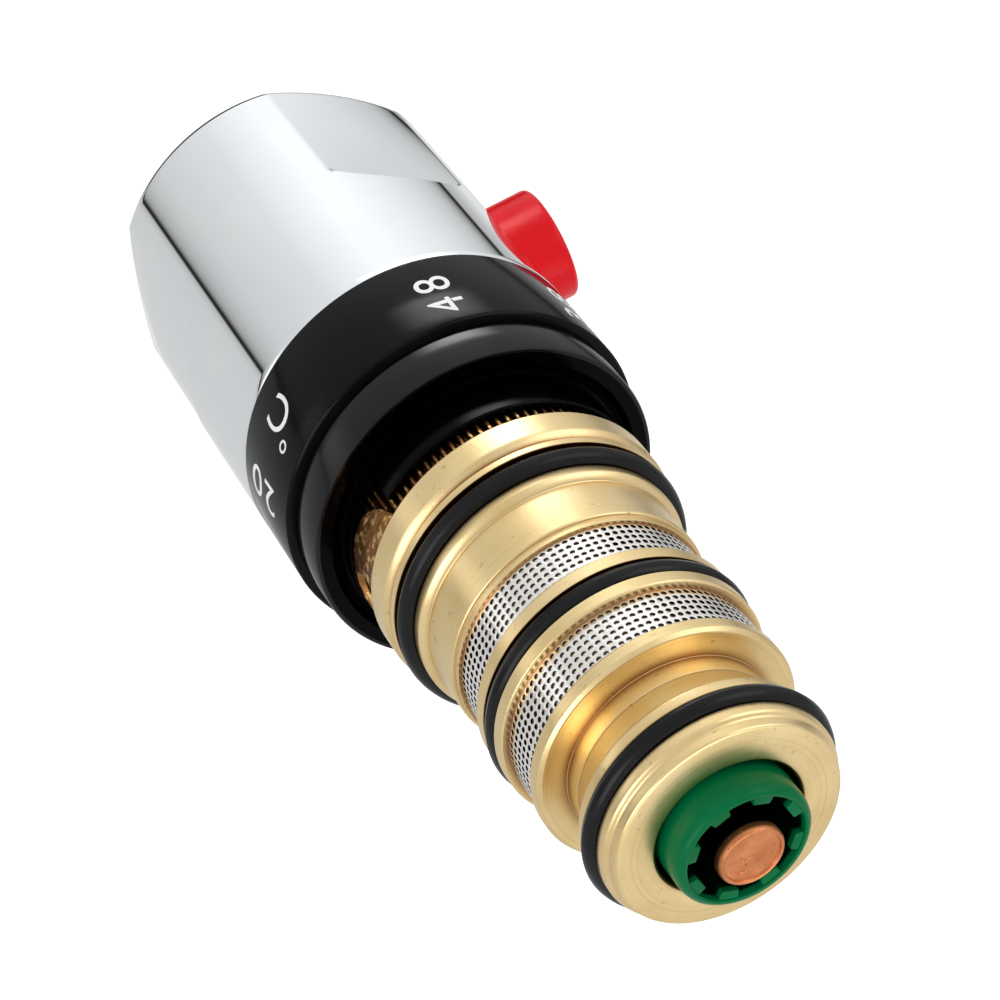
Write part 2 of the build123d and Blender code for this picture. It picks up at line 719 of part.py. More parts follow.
# Regulating nut: hexagon nut on the spindle's tail
with BuildPart() as regulating_nut:
    with BuildSketch(Plane.XY.offset(nut_start)):
        RegularPolygon(radius=nut_across_flats / 2, side_count=6, major_radius=False)
        Circle(spindle_radius + running_gap, mode=Mode.SUBTRACT)
    extrude(amount=nut_end - nut_start)
    chamfer(regulating_nut.edges().group_by(Axis.Z)[0].filter_by(GeomType.LINE), nut_chamfer)
regulating_nut.part.label = "regulating_nut"
export_step(regulating_nut.part, "parts/regulating_nut.step")

# Overload cup: turned cup between the regulating nut and the piston pin
with BuildPart() as overload_cup:
    with BuildSketch(Plane.XZ):
        with BuildLine():
            Polyline((cup_radius - cup_wall, nut_end), (cup_radius, nut_end), (cup_radius, cup_end),
                     (cup_radius - cup_wall - cup_lip, cup_end), (cup_radius - cup_wall - cup_lip, plate_end),
                     (cup_radius - cup_wall, plate_end),
                     close=True)
        make_face()
    revolve(axis=Axis.Z)
overload_cup.part.label = "overload_cup"
export_step(overload_cup.part, "parts/overload_cup.step")

# Spring plate: disc that passes the piston's push to the overload spring
with BuildPart() as spring_plate:
    with BuildSketch(Plane.XY.offset(plate_end - plate_thickness)):
        Circle(cup_radius - cup_wall - running_gap)
    extrude(amount=plate_thickness)
spring_plate.part.label = "spring_plate"
export_step(spring_plate.part, "parts/spring_plate.step")

# Overload spring and return spring
overload_spring = coil_spring(overload_spring_radius, overload_spring_wire, nut_end,
                              plate_end - plate_thickness, overload_spring_turns)
overload_spring.part.label = "overload_spring"
export_step(overload_spring.part, "parts/overload_spring.step")
return_spring = coil_spring(return_spring_radius, return_spring_wire, shuttle_end,
                            cap_spigot_start, return_spring_turns)
return_spring.part.label = "return_spring"
export_step(return_spring.part, "parts/return_spring.step")
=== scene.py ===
import json
from math import atan2, cos, degrees, pi, radians, sin, sqrt, tan

import bpy
from mathutils import Matrix, Vector, noise


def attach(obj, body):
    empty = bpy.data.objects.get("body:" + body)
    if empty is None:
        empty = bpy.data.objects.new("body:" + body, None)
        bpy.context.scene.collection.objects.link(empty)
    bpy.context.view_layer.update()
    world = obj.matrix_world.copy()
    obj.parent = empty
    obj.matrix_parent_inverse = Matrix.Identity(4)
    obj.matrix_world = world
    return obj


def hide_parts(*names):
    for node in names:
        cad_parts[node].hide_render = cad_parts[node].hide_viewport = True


mm = 0.001
black = (0, 0, 0)
white = (1, 1, 1)
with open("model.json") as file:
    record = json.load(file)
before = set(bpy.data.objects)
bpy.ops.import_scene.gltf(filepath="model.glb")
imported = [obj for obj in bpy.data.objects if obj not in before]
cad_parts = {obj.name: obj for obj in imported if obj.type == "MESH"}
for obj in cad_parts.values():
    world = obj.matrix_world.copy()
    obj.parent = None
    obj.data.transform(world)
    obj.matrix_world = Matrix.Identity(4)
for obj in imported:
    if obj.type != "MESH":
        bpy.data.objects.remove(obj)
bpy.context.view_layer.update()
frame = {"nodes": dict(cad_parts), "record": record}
print("stage: frame loaded")


def clearPick():
    if bpy.context.object and bpy.context.object.mode != "OBJECT":
        bpy.ops.object.mode_set(mode="OBJECT")
    bpy.ops.object.select_all(action="DESELECT")


def pickOnly(piece):
    clearPick()
    bpy.context.view_layer.objects.active = piece
    piece.select_set(True)


def applyAll(piece):
    pickOnly(piece)
    for modifier in list(piece.modifiers):
        bpy.ops.object.modifier_apply(modifier=modifier.name)


def addBevel(piece, width, segments=2, angle=25):
    bevel = piece.modifiers.new("edgeRound", "BEVEL")
    bevel.width = width * mm
    bevel.segments = segments
    bevel.limit_method = "ANGLE"
    bevel.angle_limit = radians(angle)
    bevel.harden_normals = False
    applyAll(piece)


def smoothBy(piece, angle=30):
    pickOnly(piece)
    bpy.ops.object.shade_smooth_by_angle(angle=radians(angle))


def dress(piece, name, body, material, stands=()):
    piece.name = name
    piece.data.name = name
    piece.data.materials.clear()
    piece.data.materials.append(material)
    if stands:
        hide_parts(*stands)
    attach(piece, body)
    return piece


def recalculate(piece, gap=0.000002):
    # doubles merged, then faces turned outwards
    pickOnly(piece)
    bpy.ops.object.mode_set(mode="EDIT")
    bpy.ops.mesh.select_all(action="SELECT")
    bpy.ops.mesh.remove_doubles(threshold=gap)
    bpy.ops.mesh.normals_make_consistent(inside=False)
    bpy.ops.object.mode_set(mode="OBJECT")


def closeEnds(piece):
    pickOnly(piece)
    bpy.ops.object.mode_set(mode="EDIT")
    bpy.ops.mesh.select_mode(type="EDGE")
    bpy.ops.mesh.select_all(action="DESELECT")
    bpy.ops.mesh.select_non_manifold()
    bpy.ops.mesh.edge_face_add()
    bpy.ops.mesh.select_mode(type="VERT")
    bpy.ops.object.mode_set(mode="OBJECT")


def turnPiece(outline, steps=192, closed=True, edge=0.12, segments=2, capped=False):
    # outline: (radius, height) in mm, pulled ring by ring out of a circle
    clearPick()
    bpy.ops.mesh.primitive_circle_add(vertices=steps, radius=outline[0][0] * mm,
                                      location=(0, 0, outline[0][1] * mm))
    piece = bpy.context.object
    bpy.ops.object.transform_apply(location=True, rotation=True, scale=True)
    bpy.ops.object.mode_set(mode="EDIT")
    bpy.ops.mesh.select_all(action="SELECT")
    route = list(outline[1:]) + ([outline[0]] if closed else [])
    lastRadius, lastHeight = outline[0]
    for radius, height in route:
        bpy.ops.mesh.extrude_edges_move(TRANSFORM_OT_translate={"value": (0, 0, (height - lastHeight) * mm)})
        bpy.ops.transform.resize(value=(radius / lastRadius, radius / lastRadius, 1), center_override=(0, 0, 0))
        lastRadius, lastHeight = radius, height
    bpy.ops.object.mode_set(mode="OBJECT")
    if capped:
        closeEnds(piece)
    recalculate(piece)
    if edge:
        addBevel(piece, edge, segments)
    smoothBy(piece)
    return piece


def newMaterial(name):
    material = bpy.data.materials.new(name)
    material.use_nodes = True
    tree = material.node_tree
    return material, tree, tree.nodes["Principled BSDF"]


def addNode(tree, kind, **settings):
    node = tree.nodes.new(kind)
    for key, value in settings.items():
        setattr(node, key, value)
    return node


def setInputs(node, **values):
    for key, value in values.items():
        node.inputs[key.replace("_", " ")].default_value = value
    return node


def noiseOf(tree, vector, scale, detail=4.0, roughness=0.5, stretch=None):
    noise = addNode(tree, "ShaderNodeTexNoise")
    setInputs(noise, Scale=scale, Detail=detail, Roughness=roughness)
    if stretch:
        mapping = addNode(tree, "ShaderNodeMapping")
        mapping.inputs["Scale"].default_value = stretch
        tree.links.new(vector, mapping.inputs["Vector"])
        vector = mapping.outputs["Vector"]
    tree.links.new(vector, noise.inputs["Vector"])
    return noise.outputs["Fac"]


def rampOf(tree, factor, stops):
    ramp = addNode(tree, "ShaderNodeValToRGB")
    elements = ramp.color_ramp.elements
    while len(elements) < len(stops):
        elements.new(0.5)
    for element, (place, colour) in zip(elements, stops):
        element.position = place
        element.color = (*colour, 1.0)
    tree.links.new(factor, ramp.inputs["Fac"])
    return ramp.outputs["Color"]


def mathOf(tree, operation, first, second=None, third=None, clamp=False):
    node = addNode(tree, "ShaderNodeMath", operation=operation, use_clamp=clamp)
    for socket, value in zip(node.inputs, (first, second, third)):
        if value is None:
            continue
        if isinstance(value, (int, float)):
            socket.default_value = value
        else:
            tree.links.new(value, socket)
    return node.outputs["Value"]


def bumpOf(tree, height, strength, distance, after=None):
    bump = addNode(tree, "ShaderNodeBump")
    setInputs(bump, Strength=strength, Distance=distance)
    tree.links.new(height, bump.inputs["Height"])
    if after:
        tree.links.new(after, bump.inputs["Normal"])
    return bump.outputs["Normal"]


def mixColour(tree, factor, first, second, kind="MIX"):
    mix = addNode(tree, "ShaderNodeMix", data_type="RGBA", blend_type=kind)
    for socket, value in ((mix.inputs["Factor"], factor), (mix.inputs[6], first), (mix.inputs[7], second)):
        if isinstance(value, (int, float)):
            socket.default_value = value
        elif isinstance(value, tuple):
            socket.default_value = (*value, 1.0)
        else:
            tree.links.new(value, socket)
    return mix.outputs[2]


def linkInputs(tree, node, **sockets):
    for key, socket in sockets.items():
        tree.links.new(socket, node.inputs[key.replace("_", " ")])


def objectPoint(tree):
    return addNode(tree, "ShaderNodeTexCoord").outputs["Object"]


def splitPoint(tree, point):
    parts = addNode(tree, "ShaderNodeSeparateXYZ")
    tree.links.new(point, parts.inputs[0])
    return parts.outputs


def axisDistance(tree, x, y):
    square = mathOf(tree, "ADD", mathOf(tree, "MULTIPLY", x, x), mathOf(tree, "MULTIPLY", y, y))
    return mathOf(tree, "SQRT", square)


def turnedFromScale(tree, x, y):
    # angle round the valve from the middle of the temperature scale
    return mathOf(tree, "ARCTAN2", x, mathOf(tree, "MULTIPLY", y, -1.0))


def turningMarks(tree, point, pitch):
    # rings left by the lathe: they follow height on the sides and radius on the faces
    x, y, z = splitPoint(tree, point)
    joined = addNode(tree, "ShaderNodeCombineXYZ")
    linkInputs(tree, joined, X=axisDistance(tree, x, y), Y=z)
    return noiseOf(tree, joined.outputs["Vector"], 1.0 / pitch, detail=3.0, roughness=0.65)


# in this look and the next, corner is the colour of the painted shade, with some grime, in the corners
brassLook = {
    "base": (0.83, 0.615, 0.29), "pale": (0.92, 0.725, 0.40), "corner": (0.27, 0.085, 0.014),
    "speck": (0.30, 0.15, 0.035), "speckFrom": 0.66, "speckShare": 0.45, "seat": (1.0, 0.90, 0.74),
    "roughness": 0.31, "markPitch": 0.00035, "markDepth": 0.05, "grain": 0.06,
}
castLook = {
    "base": (0.17, 0.065, 0.018), "pale": (0.40, 0.19, 0.06), "corner": (0.04, 0.015, 0.005),
    "speck": (0.90, 0.58, 0.24), "speckFrom": 0.52, "speckShare": 0.85, "seat": (0.17, 0.065, 0.018),
    "roughness": 0.38, "markPitch": 0.0014, "markDepth": 0.0, "grain": 0.6,
}
# what both share; the seats under the strainers lie between two radii in mm, below a height, and get painted light
brassDetail = {
    "cloudScale": 140, "speckScale": 900, "speckSoft": 0.1, "ringShade": (0.55, 0.50, 0.42), "ringShare": 0.22,
    "cornerShadeReach": 0.0022, "cornerShadeShut": 0.45, "cornerShadeOpen": 0.84, "seatRadii": (16.55, 16.85), "seatTop": 122.2,
    "roughSpread": 0.14,
}
bumpDistance = 0.0002


def insideMask(tree, point, radius, height):
    # 1 nearer to the axis than the radius and below the height, with soft limits
    x, y, z = splitPoint(tree, point)
    masks = []
    for place, limit, soft in ((axisDistance(tree, x, y), radius, 0.05), (z, height, 0.3)):
        room = mathOf(tree, "SUBTRACT", limit * mm, place)
        masks.append(mathOf(tree, "DIVIDE", room, soft * mm, clamp=True))
    return mathOf(tree, "MULTIPLY", *masks)


def makeBrass(name, look):
    material, tree, shader = newMaterial(name)
    point = objectPoint(tree)
    detail = brassDetail
    marks = turningMarks(tree, point, look["markPitch"])
    cloud = noiseOf(tree, point, detail["cloudScale"], detail=6.0, roughness=0.6)
    speck = noiseOf(tree, point, detail["speckScale"], detail=3.0)
    colour = rampOf(tree, cloud, ((0.3, look["base"]), (0.75, look["pale"])))
    ringShade = rampOf(tree, marks, ((0.30, detail["ringShade"]), (0.48, white)))
    colour = mixColour(tree, detail["ringShare"], colour, ringShade, "MULTIPLY")
    speckEnd = look["speckFrom"] + detail["speckSoft"]
    speckMask = rampOf(tree, speck, ((look["speckFrom"], black), (speckEnd, white)))
    colour = mixColour(tree, mathOf(tree, "MULTIPLY", speckMask, look["speckShare"]), colour, look["speck"])
    # painted shade with some grime in the corners: the colour darkens where ambient occlusion finds nearby surfaces
    corner = addNode(tree, "ShaderNodeAmbientOcclusion")
    corner.samples = 6
    setInputs(corner, Distance=detail["cornerShadeReach"])
    closed = rampOf(tree, corner.outputs["AO"], ((detail["cornerShadeShut"], white), (detail["cornerShadeOpen"], black)))
    # no painted corner shade on the seats that show through the strainers; they get a pale painted light colour
    # instead
    inner, outer = (insideMask(tree, point, radius, detail["seatTop"]) for radius in detail["seatRadii"])
    seat = mathOf(tree, "SUBTRACT", outer, inner)
    closed = mathOf(tree, "MULTIPLY", closed, mathOf(tree, "SUBTRACT", 1.0, seat))
    # painted light: the seats seen through the strainer holes are coloured pale cream, as if lit through the holes
    colour = mixColour(tree, seat, colour, look["seat"])
    colour = mixColour(tree, closed, colour, look["corner"])
    spread = detail["roughSpread"]
    rough = mathOf(tree, "MULTIPLY_ADD", cloud, spread, look["roughness"] - spread / 2)
    normal = bumpOf(tree, marks, look["markDepth"], bumpDistance)
    normal = bumpOf(tree, speck, look["grain"], bumpDistance, after=normal)
    setInputs(shader, Metallic=1.0)
    linkInputs(tree, shader, Base_Color=colour, Roughness=rough, Normal=normal)
    return material


chromeLook = {
    "dark": (0.87, 0.885, 0.895), "light": (0.91, 0.92, 0.925), "hazeScale": 60, "roughness": 0.015,
    "roughSpread": 0.02, "waveScale": 22, "waveDepth": 0.012, "waveDistance": 0.001,
}
# inside is a dark colour painted as shade on the strainer's hole walls and underside
steelLook = {
    "dark": (0.84, 0.82, 0.79), "light": (0.97, 0.95, 0.92), "inside": (0.012, 0.008, 0.005), "streakScale": 500,
    "streakStretch": (1, 1, 6), "roughness": 0.17, "roughSpread": 0.15, "grain": 0.06,
}
# inside is a dark colour painted as shade on the element's side, within the radius and below the height given after
# it
copperLook = {
    "dark": (0.56, 0.19, 0.07), "light": (0.74, 0.29, 0.125), "pit": (0.36, 0.11, 0.04),
    "inside": (0.012, 0.005, 0.002), "paintedShadeBelow": (9, 143.5), "cloudScale": 420, "pitScale": 2200,
    "pitFrom": 0.66, "pitFull": 0.74, "pitDepth": 0.3, "grainScale": 700, "grain": 0.2, "roughness": 0.30,
    "roughSpread": 0.2,
}


def makeChrome(name, look):
    material, tree, shader = newMaterial(name)
    point = objectPoint(tree)
    haze = noiseOf(tree, point, look["hazeScale"], detail=5.0)
    colour = rampOf(tree, haze, ((0.3, look["dark"]), (0.7, look["light"])))
    rough = mathOf(tree, "MULTIPLY_ADD", haze, look["roughSpread"], look["roughness"])
    wave = noiseOf(tree, point, look["waveScale"], detail=2.0)
    normal = bumpOf(tree, wave, look["waveDepth"], look["waveDistance"])
    setInputs(shader, Metallic=1.0)
    linkInputs(tree, shader, Base_Color=colour, Roughness=rough, Normal=normal)
    return material


def makePlastic(name, dark, light, roughness, grain=700, grainDepth=0.04, spread=0.05, gloss=0.5,
                inside=None):
    # painted shade: what lies inside a radius and below a height, deep in the piece, is darker and duller
    material, tree, shader = newMaterial(name)
    point = objectPoint(tree)
    colour = rampOf(tree, noiseOf(tree, point, 90, detail=5.0), ((0.3, dark), (0.7, light)))
    setInputs(shader, Specular_IOR_Level=gloss)
    if inside:
        mask = insideMask(tree, point, *inside)
        colour = mixColour(tree, mask, colour, tuple(0.08 * level for level in dark))
        linkInputs(tree, shader, Specular_IOR_Level=mathOf(tree, "MULTIPLY_ADD", mask, -0.8 * gloss, gloss))
    cloud = noiseOf(tree, point, 260, detail=4.0)
    rough = mathOf(tree, "MULTIPLY_ADD", cloud, spread * 2, roughness - spread)
    normal = bumpOf(tree, noiseOf(tree, point, grain, detail=4.0), grainDepth, bumpDistance)
    linkInputs(tree, shader, Base_Color=colour, Roughness=rough, Normal=normal)
    return material


def makeSteel(name, look, inside=None):
    material, tree, shader = newMaterial(name)
    point = objectPoint(tree)
    streak = noiseOf(tree, point, look["streakScale"], detail=4.0, stretch=look["streakStretch"])
    colour = rampOf(tree, streak, ((0.3, look["dark"]), (0.7, look["light"])))
    # painted shade: inside the radius and below the height the colour turns dark
    if inside:
        colour = mixColour(tree, insideMask(tree, point, *inside), colour, look["inside"])
    rough = mathOf(tree, "MULTIPLY_ADD", streak, look["roughSpread"], look["roughness"])
    normal = bumpOf(tree, streak, look["grain"], bumpDistance)
    setInputs(shader, Metallic=1.0)
    linkInputs(tree, shader, Base_Color=colour, Roughness=rough, Normal=normal)
    return material


def makeCopper(name, look):
    # drawn copper with small pits on its face, and painted shade on its side deep in the insert
    material, tree, shader = newMaterial(name)
    point = objectPoint(tree)
    cloud = noiseOf(tree, point, look["cloudScale"], detail=6.0)
    colour = rampOf(tree, cloud, ((0.3, look["dark"]), (0.7, look["light"])))
    pitNoise = noiseOf(tree, point, look["pitScale"], detail=2.0)
    pits = rampOf(tree, pitNoise, ((look["pitFrom"], white), (look["pitFull"], black)))
    colour = mixColour(tree, mathOf(tree, "SUBTRACT", 1.0, pits), colour, look["pit"])
    # painted shade deep in the insert
    colour = mixColour(tree, insideMask(tree, point, *look["paintedShadeBelow"]), colour, look["inside"])
    rough = mathOf(tree, "MULTIPLY_ADD", cloud, look["roughSpread"], look["roughness"])
    normal = bumpOf(tree, pits, look["pitDepth"], bumpDistance)
    grain = noiseOf(tree, point, look["grainScale"], detail=5.0)
    normal = bumpOf(tree, grain, look["grain"], bumpDistance, after=normal)
    setInputs(shader, Metallic=1.0)
    linkInputs(tree, shader, Base_Color=colour, Roughness=rough, Normal=normal)
    return material


brass = makeBrass("turnedBrass", brassLook)
castBrass = makeBrass("castBrass", castLook)
chrome = makeChrome("polishedChrome", chromeLook)
blackPlastic = makePlastic("blackScalePlastic", dark=(0.0045, 0.0045, 0.006), light=(0.007, 0.007, 0.009),
                           roughness=0.12, spread=0.03, gloss=0.08)
# the collar's mouth gets painted shade inside 23.9 mm
collarPlastic = makePlastic("blackCollarPlastic", dark=(0.0045, 0.0045, 0.006), light=(0.007, 0.007, 0.009),
                            roughness=0.14, spread=0.03, gloss=0.26, inside=(23.9, 200))
redPlastic = makePlastic("redButtonPlastic", dark=(0.78, 0.0, 0.006), light=(0.88, 0.001, 0.010), roughness=0.26,
                         gloss=0.22)
# the insert's bore gets painted shade inside 7.8 mm, below 142.4 mm
greenPlastic = makePlastic("greenInsertPlastic", dark=(0.0, 0.125, 0.034), light=(0.0, 0.185, 0.062),
                           roughness=0.24, gloss=0.10, inside=(7.8, 142.4))
greyPlastic = makePlastic("greyInsertPlastic", dark=(0.20, 0.20, 0.21), light=(0.30, 0.30, 0.31), roughness=0.45)
rubber = makePlastic("sealRubber", dark=(0.005, 0.005, 0.006), light=(0.010, 0.010, 0.011), roughness=0.26,
                     grain=1400, grainDepth=0.12, gloss=0.2)
whitePaint = makePlastic("scaleWhite", dark=(0.84, 0.84, 0.83), light=(0.92, 0.92, 0.91), roughness=0.4)
steel = makeSteel("stainlessSteel", steelLook)
strainerSteel = makeSteel("strainerSteel", steelLook, inside=(16.95, 200))
copper = makeCopper("elementCopper", copperLook)

cadFinish = {
    "brass": brass, "chrome": chrome, "black_plastic": blackPlastic, "red_plastic": redPlastic,
    "grey_plastic": greyPlastic, "green_plastic": greenPlastic, "copper": copper,
    "stainless_steel": steel, "rubber": rubber,
}
for part in frame["record"]["subparts"]:
    cadNode = frame["nodes"][part["node"]]
    cadNode.data.materials.clear()
    cadNode.data.materials.append(cadFinish[part["material_slot"]])
print("stage: materials made")


# cutters: shapes that a piece loses
def outward(azimuth):
    return Vector((cos(radians(azimuth)), sin(radians(azimuth)), 0))


def layOnSide(piece, azimuth, height):
    # from its own axis to the side of the valve: its x goes up the valve, its z goes outwards
    out = outward(azimuth)
    across = Vector((out.y, -out.x, 0))
    up = Vector((0, 0, 1))
    for vertex in piece.data.vertices:
        x, y, z = vertex.co
        vertex.co = out * z + up * (x + height * mm) + across * y
    return piece


def sideCutter(azimuth, height, outline):
    return layOnSide(turnPiece(outline, steps=64, closed=False, edge=0, capped=True), azimuth, height)


def wedgeCutter(start, end, low, high, reach):
    # three-sided prism from the axis outwards between two azimuths
    clearPick()
    bpy.ops.mesh.primitive_cylinder_add(vertices=3, radius=1, depth=2)
    wedge = bpy.context.object
    corners = (Vector((0, 0, 0)), outward(start) * reach * mm, outward(end) * reach * mm)
    for vertex in wedge.data.vertices:
        corner = corners[round(degrees(atan2(vertex.co.y, vertex.co.x)) / 120 + 3) % 3]
        vertex.co = (corner.x, corner.y, (high if vertex.co.z > 0 else low) * mm)
    recalculate(wedge)
    return wedge


def cutAway(piece, cutters):
    for cutter in cutters:
        cut = piece.modifiers.new("cut", "BOOLEAN")
        cut.operation = "DIFFERENCE"
        cut.solver = "EXACT"
        cut.object = cutter
    applyAll(piece)
    for cutter in cutters:
        bpy.data.objects.remove(cutter, do_unlink=True)
    return piece


def joinPieces(pieces):
    clearPick()
    for piece in pieces:
        piece.select_set(True)
    bpy.context.view_layer.objects.active = pieces[0]
    bpy.ops.object.join()
    return bpy.context.object


# handle shell: round cast cap, three finger flats, the button's hole and the grub screw's hole
# flats: azimuth of the middle, depth at the handle's end and further up, height over which it changes
handle = {
    "radius": 25.7, "length": 51.0, "wall": 3.2, "endWall": 4.0, "endRound": 2.0, "rimRound": 0.2,
    "flats": {-140: (1.2, 2.4, 28), -23: (2.3, 0.6, 12), 100: (1.5, 2.4, 28)}, "halfFlat": 25.5,
    "flatLength": 29.5, "flatWidth": 23.8, "arcRadius": 16.2, "coveHeight": 1.3, "around": 480,
    "endSteps": 12, "flatSteps": 36, "coveSteps": 8, "sideSteps": 24,
    "buttonHole": (166.7, 30.2, 8.58), "grubHole": (40, 34, 2.1), "grubMouth": 1.4, "holeFrom": 12, "smooth": 32,
}


def turnBetween(first, second):
    return abs((first - second + 180) % 360 - 180)


def flatReach(azimuth):
    # angle from the nearest finger flat's middle
    return min(turnBetween(azimuth, flat) for flat in handle["flats"])


def crestHeight(azimuth):
    # each flat ends in an arc across its width
    off = min(handle["radius"] * 0.95 * tan(radians(min(flatReach(azimuth), 60))), handle["flatWidth"] / 2)
    return handle["flatLength"] - handle["arcRadius"] + sqrt(handle["arcRadius"] ** 2 - off ** 2)


def flatRadius(azimuth, height):
    nearest = min(handle["flats"], key=lambda flat: turnBetween(azimuth, flat))
    atEnd, further, taper = handle["flats"][nearest]
    depth = further + (atEnd - further) * max(1 - height / taper, 0) ** 1.3
    return handle["radius"] - depth * max(1 - (flatReach(azimuth) / handle["halfFlat"]) ** 2, 0)


def handleOutline(azimuth):
    # radii and heights of one line up the shell, from the middle of the end face round to the inner floor
    radius, top, floor = handle["radius"], handle["length"], handle["endWall"]
    endRound, cove, rim = handle["endRound"], handle["coveHeight"], handle["rimRound"]
    crest = crestHeight(azimuth)
    base = flatRadius(azimuth, 0)
    rings = [((base - endRound) * share + 0.001, 0.0) for share in (0.0, 0.35, 0.7, 0.92)]
    for step in range(handle["endSteps"] + 1):
        angle = radians(90 * step / handle["endSteps"])
        height = endRound * (1 - cos(angle))
        rings.append((flatRadius(azimuth, height) - endRound * (1 - sin(angle)), height))
    for step in range(1, handle["flatSteps"] + 1):
        height = endRound + (crest - cove - endRound) * step / handle["flatSteps"]
        rings.append((flatRadius(azimuth, height), height))
    low = flatRadius(azimuth, crest)
    for step in range(1, handle["coveSteps"] + 1):
        share = step / handle["coveSteps"]
        rings.append((low + (radius - low) * (1 - sqrt(1 - share ** 2)), crest - cove + cove * share))
    for step in range(1, handle["sideSteps"] + 1):
        rings.append((radius, crest + (top - rim - crest) * step / handle["sideSteps"]))
    rings += [(radius - 0.3 * rim, top - 0.3 * rim), (radius - rim, top)]
    inner = radius - handle["wall"]
    rings += [(inner, height) for height in (top, top - 5, top * 0.6, top * 0.3, floor)]
    return rings + [(inner * 0.5, floor), (0.001, floor)]


def makeHandleShell():
    around = handle["around"]
    lines = [handleOutline(360 * step / around) for step in range(around)]
    up = len(lines[0])
    clearPick()
    bpy.ops.mesh.primitive_grid_add(x_subdivisions=around, y_subdivisions=up - 1, size=1)
    shell = bpy.context.object
    for vertex in shell.data.vertices:
        column = round((vertex.co.x + 0.5) * around)
        row = round((vertex.co.y + 0.5) * (up - 1))
        angle = 2 * pi * (column % around) / around
        radius, height = lines[column % around][row]
        vertex.co = (radius * cos(angle) * mm, radius * sin(angle) * mm, height * mm)
    recalculate(shell, 0.000003)
    return shell


handleShell = makeHandleShell()
azimuth, height, radius = handle["buttonHole"]
buttonCutter = sideCutter(azimuth, height, [(radius, handle["holeFrom"]), (radius, handle["radius"] + 8.3)])
azimuth, height, radius = handle["grubHole"]
mouth = handle["grubMouth"]
grubCutter = sideCutter(azimuth, height, [(radius, handle["holeFrom"]), (radius, handle["radius"] - 0.7),
                                          (radius + mouth, handle["radius"] - 0.7 + mouth)])
cutAway(handleShell, (buttonCutter, grubCutter))
smoothBy(handleShell, handle["smooth"])
dress(handleShell, "handleShellChrome", "handle", chrome, ["handle_shell"])
print("stage: handle shell shaped")

# stop button: round button, the lip that holds it and the tongue up to the end stop
button = {
    "azimuth": 166.7, "height": 30.2, "radius": 8.5, "top": 31.5, "edgeRound": 0.9, "crown": 0.1,
    "lipRadius": 9.6, "lipFace": 19.8, "lip": 1.6, "tongueLength": 24.4, "tongueWidth": 8.0,
}


def makeStopButton():
    inner = button["lipFace"] - button["lip"]
    edge, top, rounding = button["radius"], button["top"], button["edgeRound"]
    outline = [(0.001, inner), (2.9, inner), (button["lipRadius"], inner),
               (button["lipRadius"], button["lipFace"]), (edge, button["lipFace"])]
    for step in range(7):
        turn = radians(15 * step)
        outline.append((edge - rounding * (1 - cos(turn)), top - rounding - button["crown"] + rounding * sin(turn)))
    outline += [(5.5, top - 0.04), (2.8, top - 0.01), (0.001, top)]
    head = turnPiece(outline, steps=160, closed=False, edge=0)
    clearPick()
    bpy.ops.mesh.primitive_cube_add(size=1)
    tongue = bpy.context.object
    for vertex in tongue.data.vertices:
        x, y, z = vertex.co
        vertex.co = ((x + 0.5) * button["tongueLength"] * mm, y * button["tongueWidth"] * mm,
                     (inner + (z + 0.5) * button["lip"]) * mm)
    addBevel(tongue, 0.4, 2)
    whole = layOnSide(joinPieces([head, tongue]), button["azimuth"], button["height"])
    smoothBy(whole, 40)
    return whole


dress(makeStopButton(), "stopButtonRed", "button", redPlastic, ["stop_button"])
print("stage: button shaped")

# scale ring and its raised figures: figure, height and angle from the scale's middle; the degree sign has
# its outer and inner radius as well
scaleRing = {
    "radius": 25.7, "rise": 0.05, "figureHeight": 4.85, "stretch": 1.06, "slice": 0.45, "sliceReach": 3,
    "figures": (("4", 62.25, -27.3), ("8", 57.1, -27.4), ("C", 57.4, 34.1), ("2", 59.8, 60.6), ("0", 55.5, 60.1),
                ("3", 61.6, -75), ("8", 56.4, -75)),
    "degree": (61.2, 39.8, 0.92, 0.55),
    "outline": ((20.65, 46.0), (22.25, 46.0), (22.25, 51.0), (25.55, 51.0), (25.7, 51.15), (25.7, 65.7),
                (25.4, 66.0), (22.9, 66.0), (22.6, 65.7), (22.6, 52.2), (20.65, 52.2)),
}
dress(turnPiece(scaleRing["outline"], steps=256, edge=0.08), "scaleRingBlack", "handle", blackPlastic,
      ["scale_ring"])


def wrapOnRing(figure, height, turn):
    # the figure's right goes down the valve's axis, its top goes round the ring
    radius = scaleRing["radius"] - 0.02
    for vertex in figure.data.vertices:
        angle = radians(turn) + vertex.co.y / (radius * mm)
        away = radius * mm + vertex.co.z
        vertex.co = (away * sin(angle), -away * cos(angle), height * mm - vertex.co.x)


def sliceFlat(figure, step, reach):
    # rows of points across a flat figure, so that it follows the ring
    pickOnly(figure)
    bpy.ops.object.mode_set(mode="EDIT")
    place = -reach
    while place < reach:
        bpy.ops.mesh.select_all(action="SELECT")
        bpy.ops.mesh.bisect(plane_co=(0, place, 0), plane_no=(0, 1, 0))
        place += step
    bpy.ops.object.mode_set(mode="OBJECT")


